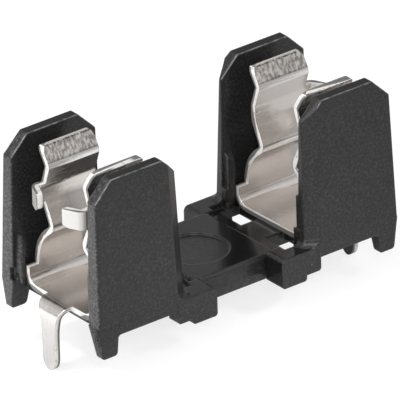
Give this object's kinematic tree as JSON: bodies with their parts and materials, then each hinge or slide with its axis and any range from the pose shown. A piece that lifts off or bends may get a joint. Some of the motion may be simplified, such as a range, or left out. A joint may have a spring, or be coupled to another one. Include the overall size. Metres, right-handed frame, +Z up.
{
  "type": "fuse holder",
  "caption": "Open board-mounted holder for a small cartridge fuse: a black moulded base with guard walls carries folded spring clips with solder pins.",
  "frame": {"origin": "middle of the two solder pins in the seating plane, the plane of the four feet that stand on the board", "axes": "+X along the fuse, +Y across it, +Z up from the board"},
  "size_m": [0.0232, 0.0096, 0.0139],
  "materials": {
    "base_plastic": "fine-grained black glass-filled thermoplastic, satin",
    "tinned_contact": "tin-plated copper alloy sheet, satin, warm grey"
  },
  "bodies": {
    "root": {"base": "base_plastic", "clip_left": "tinned_contact", "clip_right": "tinned_contact"}
  },
  "joints": []
}
